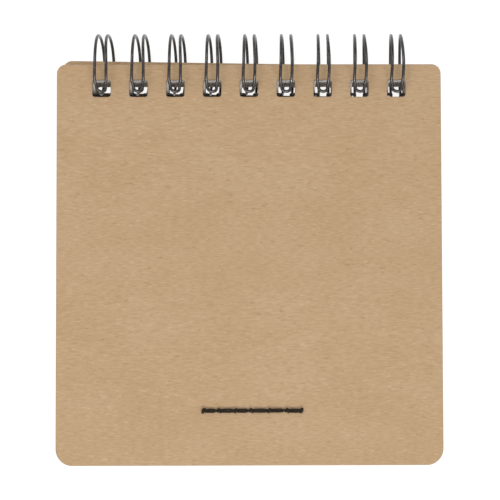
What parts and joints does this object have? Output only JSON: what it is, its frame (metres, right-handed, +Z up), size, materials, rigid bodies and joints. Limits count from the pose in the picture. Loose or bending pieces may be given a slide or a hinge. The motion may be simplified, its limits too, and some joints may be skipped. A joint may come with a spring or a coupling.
{
  "type": "sketchbook",
  "caption": "Square sketchbook with punched kraft-board covers and loose drawing sheets on a twin-loop wire along its top edge; every leaf turns about the ring.",
  "frame": {"origin": "under the middle of the closed book's outline, on the table it lies on", "axes": "+Y towards the binding, +Z up through the stack from the back cover to the front cover, +X along the spine"},
  "size_m": [0.1344, 0.149, 0.022],
  "materials": {
    "kraft_board": "matte uncoated kraft board with fine flecks",
    "drawing_paper": "matte drawing paper with a fine tooth",
    "binding_wire": "gunmetal coated steel wire, satin",
    "stitch_thread": "twisted waxed thread, dark brown"
  },
  "bodies": {
    "back_cover": {"back_cover": "kraft_board"},
    "sheet_40": {"sheet_40": "drawing_paper"},
    "sheet_39": {"sheet_39": "drawing_paper"},
    "sheet_38": {"sheet_38": "drawing_paper"},
    "sheet_37": {"sheet_37": "drawing_paper"},
    "sheet_36": {"sheet_36": "drawing_paper"},
    "sheet_35": {"sheet_35": "drawing_paper"},
    "sheet_34": {"sheet_34": "drawing_paper"},
    "sheet_33": {"sheet_33": "drawing_paper"},
    "sheet_32": {"sheet_32": "drawing_paper"},
    "sheet_31": {"sheet_31": "drawing_paper"},
    "sheet_30": {"sheet_30": "drawing_paper"},
    "sheet_29": {"sheet_29": "drawing_paper"},
    "sheet_28": {"sheet_28": "drawing_paper"},
    "sheet_27": {"sheet_27": "drawing_paper"},
    "sheet_26": {"sheet_26": "drawing_paper"},
    "sheet_25": {"sheet_25": "drawing_paper"},
    "sheet_24": {"sheet_24": "drawing_paper"},
    "sheet_23": {"sheet_23": "drawing_paper"},
    "sheet_22": {"sheet_22": "drawing_paper"},
    "sheet_21": {"sheet_21": "drawing_paper"},
    "sheet_20": {"sheet_20": "drawing_paper"},
    "sheet_19": {"sheet_19": "drawing_paper"},
    "sheet_18": {"sheet_18": "drawing_paper"},
    "sheet_17": {"sheet_17": "drawing_paper"},
    "sheet_16": {"sheet_16": "drawing_paper"},
    "sheet_15": {"sheet_15": "drawing_paper"},
    "sheet_14": {"sheet_14": "drawing_paper"},
    "sheet_13": {"sheet_13": "drawing_paper"},
    "sheet_12": {"sheet_12": "drawing_paper"},
    "sheet_11": {"sheet_11": "drawing_paper"},
    "sheet_10": {"sheet_10": "drawing_paper"},
    "sheet_09": {"sheet_09": "drawing_paper"},
    "sheet_08": {"sheet_08": "drawing_paper"},
    "sheet_07": {"sheet_07": "drawing_paper"},
    "sheet_06": {"sheet_06": "drawing_paper"},
    "sheet_05": {"sheet_05": "drawing_paper"},
    "sheet_04": {"sheet_04": "drawing_paper"},
    "sheet_03": {"sheet_03": "drawing_paper"},
    "sheet_02": {"sheet_02": "drawing_paper"},
    "first_sheet_and_wire": {"sheet_01": "drawing_paper", "binding_wire": "binding_wire"},
    "front_cover": {"front_cover": "kraft_board", "stitch_thread": "stitch_thread"}
  },
  "joints": [
    {"name": "open_at_sheet_40", "type": "hinge", "parent": "back_cover", "child": "sheet_40", "pos_m": [0, 0.0635, 0.01103], "axis": [-1, 0, 0], "range_deg": [0, 180]},
    {"name": "open_at_sheet_39", "type": "hinge", "parent": "sheet_40", "child": "sheet_39", "pos_m": [0, 0.0635, 0.01103], "axis": [-1, 0, 0], "range_deg": [0, 180]},
    {"name": "open_at_sheet_38", "type": "hinge", "parent": "sheet_39", "child": "sheet_38", "pos_m": [0, 0.0635, 0.01103], "axis": [-1, 0, 0], "range_deg": [0, 180]},
    {"name": "open_at_sheet_37", "type": "hinge", "parent": "sheet_38", "child": "sheet_37", "pos_m": [0, 0.0635, 0.01103], "axis": [-1, 0, 0], "range_deg": [0, 180]},
    {"name": "open_at_sheet_36", "type": "hinge", "parent": "sheet_37", "child": "sheet_36", "pos_m": [0, 0.0635, 0.01103], "axis": [-1, 0, 0], "range_deg": [0, 180]},
    {"name": "open_at_sheet_35", "type": "hinge", "parent": "sheet_36", "child": "sheet_35", "pos_m": [0, 0.0635, 0.01103], "axis": [-1, 0, 0], "range_deg": [0, 180]},
    {"name": "open_at_sheet_34", "type": "hinge", "parent": "sheet_35", "child": "sheet_34", "pos_m": [0, 0.0635, 0.01103], "axis": [-1, 0, 0], "range_deg": [0, 180]},
    {"name": "open_at_sheet_33", "type": "hinge", "parent": "sheet_34", "child": "sheet_33", "pos_m": [0, 0.0635, 0.01103], "axis": [-1, 0, 0], "range_deg": [0, 180]},
    {"name": "open_at_sheet_32", "type": "hinge", "parent": "sheet_33", "child": "sheet_32", "pos_m": [0, 0.0635, 0.01103], "axis": [-1, 0, 0], "range_deg": [0, 180]},
    {"name": "open_at_sheet_31", "type": "hinge", "parent": "sheet_32", "child": "sheet_31", "pos_m": [0, 0.0635, 0.01103], "axis": [-1, 0, 0], "range_deg": [0, 180]},
    {"name": "open_at_sheet_30", "type": "hinge", "parent": "sheet_31", "child": "sheet_30", "pos_m": [0, 0.0635, 0.01103], "axis": [-1, 0, 0], "range_deg": [0, 180]},
    {"name": "open_at_sheet_29", "type": "hinge", "parent": "sheet_30", "child": "sheet_29", "pos_m": [0, 0.0635, 0.01103], "axis": [-1, 0, 0], "range_deg": [0, 180]},
    {"name": "open_at_sheet_28", "type": "hinge", "parent": "sheet_29", "child": "sheet_28", "pos_m": [0, 0.0635, 0.01103], "axis": [-1, 0, 0], "range_deg": [0, 180]},
    {"name": "open_at_sheet_27", "type": "hinge", "parent": "sheet_28", "child": "sheet_27", "pos_m": [0, 0.0635, 0.01103], "axis": [-1, 0, 0], "range_deg": [0, 180]},
    {"name": "open_at_sheet_26", "type": "hinge", "parent": "sheet_27", "child": "sheet_26", "pos_m": [0, 0.0635, 0.01103], "axis": [-1, 0, 0], "range_deg": [0, 180]},
    {"name": "open_at_sheet_25", "type": "hinge", "parent": "sheet_26", "child": "sheet_25", "pos_m": [0, 0.0635, 0.01103], "axis": [-1, 0, 0], "range_deg": [0, 180]},
    {"name": "open_at_sheet_24", "type": "hinge", "parent": "sheet_25", "child": "sheet_24", "pos_m": [0, 0.0635, 0.01103], "axis": [-1, 0, 0], "range_deg": [0, 180]},
    {"name": "open_at_sheet_23", "type": "hinge", "parent": "sheet_24", "child": "sheet_23", "pos_m": [0, 0.0635, 0.01103], "axis": [-1, 0, 0], "range_deg": [0, 180]},
    {"name": "open_at_sheet_22", "type": "hinge", "parent": "sheet_23", "child": "sheet_22", "pos_m": [0, 0.0635, 0.01103], "axis": [-1, 0, 0], "range_deg": [0, 180]},
    {"name": "open_at_sheet_21", "type": "hinge", "parent": "sheet_22", "child": "sheet_21", "pos_m": [0, 0.0635, 0.01103], "axis": [-1, 0, 0], "range_deg": [0, 180]},
    {"name": "open_at_sheet_20", "type": "hinge", "parent": "sheet_21", "child": "sheet_20", "pos_m": [0, 0.0635, 0.01103], "axis": [-1, 0, 0], "range_deg": [0, 180]},
    {"name": "open_at_sheet_19", "type": "hinge", "parent": "sheet_20", "child": "sheet_19", "pos_m": [0, 0.0635, 0.01103], "axis": [-1, 0, 0], "range_deg": [0, 180]},
    {"name": "open_at_sheet_18", "type": "hinge", "parent": "sheet_19", "child": "sheet_18", "pos_m": [0, 0.0635, 0.01103], "axis": [-1, 0, 0], "range_deg": [0, 180]},
    {"name": "open_at_sheet_17", "type": "hinge", "parent": "sheet_18", "child": "sheet_17", "pos_m": [0, 0.0635, 0.01103], "axis": [-1, 0, 0], "range_deg": [0, 180]},
    {"name": "open_at_sheet_16", "type": "hinge", "parent": "sheet_17", "child": "sheet_16", "pos_m": [0, 0.0635, 0.01103], "axis": [-1, 0, 0], "range_deg": [0, 180]},
    {"name": "open_at_sheet_15", "type": "hinge", "parent": "sheet_16", "child": "sheet_15", "pos_m": [0, 0.0635, 0.01103], "axis": [-1, 0, 0], "range_deg": [0, 180]},
    {"name": "open_at_sheet_14", "type": "hinge", "parent": "sheet_15", "child": "sheet_14", "pos_m": [0, 0.0635, 0.01103], "axis": [-1, 0, 0], "range_deg": [0, 180]},
    {"name": "open_at_sheet_13", "type": "hinge", "parent": "sheet_14", "child": "sheet_13", "pos_m": [0, 0.0635, 0.01103], "axis": [-1, 0, 0], "range_deg": [0, 180]},
    {"name": "open_at_sheet_12", "type": "hinge", "parent": "sheet_13", "child": "sheet_12", "pos_m": [0, 0.0635, 0.01103], "axis": [-1, 0, 0], "range_deg": [0, 180]},
    {"name": "open_at_sheet_11", "type": "hinge", "parent": "sheet_12", "child": "sheet_11", "pos_m": [0, 0.0635, 0.01103], "axis": [-1, 0, 0], "range_deg": [0, 180]},
    {"name": "open_at_sheet_10", "type": "hinge", "parent": "sheet_11", "child": "sheet_10", "pos_m": [0, 0.0635, 0.01103], "axis": [-1, 0, 0], "range_deg": [0, 180]},
    {"name": "open_at_sheet_09", "type": "hinge", "parent": "sheet_10", "child": "sheet_09", "pos_m": [0, 0.0635, 0.01103], "axis": [-1, 0, 0], "range_deg": [0, 180]},
    {"name": "open_at_sheet_08", "type": "hinge", "parent": "sheet_09", "child": "sheet_08", "pos_m": [0, 0.0635, 0.01103], "axis": [-1, 0, 0], "range_deg": [0, 180]},
    {"name": "open_at_sheet_07", "type": "hinge", "parent": "sheet_08", "child": "sheet_07", "pos_m": [0, 0.0635, 0.01103], "axis": [-1, 0, 0], "range_deg": [0, 180]},
    {"name": "open_at_sheet_06", "type": "hinge", "parent": "sheet_07", "child": "sheet_06", "pos_m": [0, 0.0635, 0.01103], "axis": [-1, 0, 0], "range_deg": [0, 180]},
    {"name": "open_at_sheet_05", "type": "hinge", "parent": "sheet_06", "child": "sheet_05", "pos_m": [0, 0.0635, 0.01103], "axis": [-1, 0, 0], "range_deg": [0, 180]},
    {"name": "open_at_sheet_04", "type": "hinge", "parent": "sheet_05", "child": "sheet_04", "pos_m": [0, 0.0635, 0.01103], "axis": [-1, 0, 0], "range_deg": [0, 180]},
    {"name": "open_at_sheet_03", "type": "hinge", "parent": "sheet_04", "child": "sheet_03", "pos_m": [0, 0.0635, 0.01103], "axis": [-1, 0, 0], "range_deg": [0, 180]},
    {"name": "open_at_sheet_02", "type": "hinge", "parent": "sheet_03", "child": "sheet_02", "pos_m": [0, 0.0635, 0.01103], "axis": [-1, 0, 0], "range_deg": [0, 180]},
    {"name": "open_at_sheet_01", "type": "hinge", "parent": "sheet_02", "child": "first_sheet_and_wire", "pos_m": [0, 0.0635, 0.01103], "axis": [-1, 0, 0], "range_deg": [0, 180]},
    {"name": "open_front_cover", "type": "hinge", "parent": "first_sheet_and_wire", "child": "front_cover", "pos_m": [0, 0.0635, 0.01103], "axis": [-1, 0, 0], "range_deg": [0, 182.5]}
  ]
}
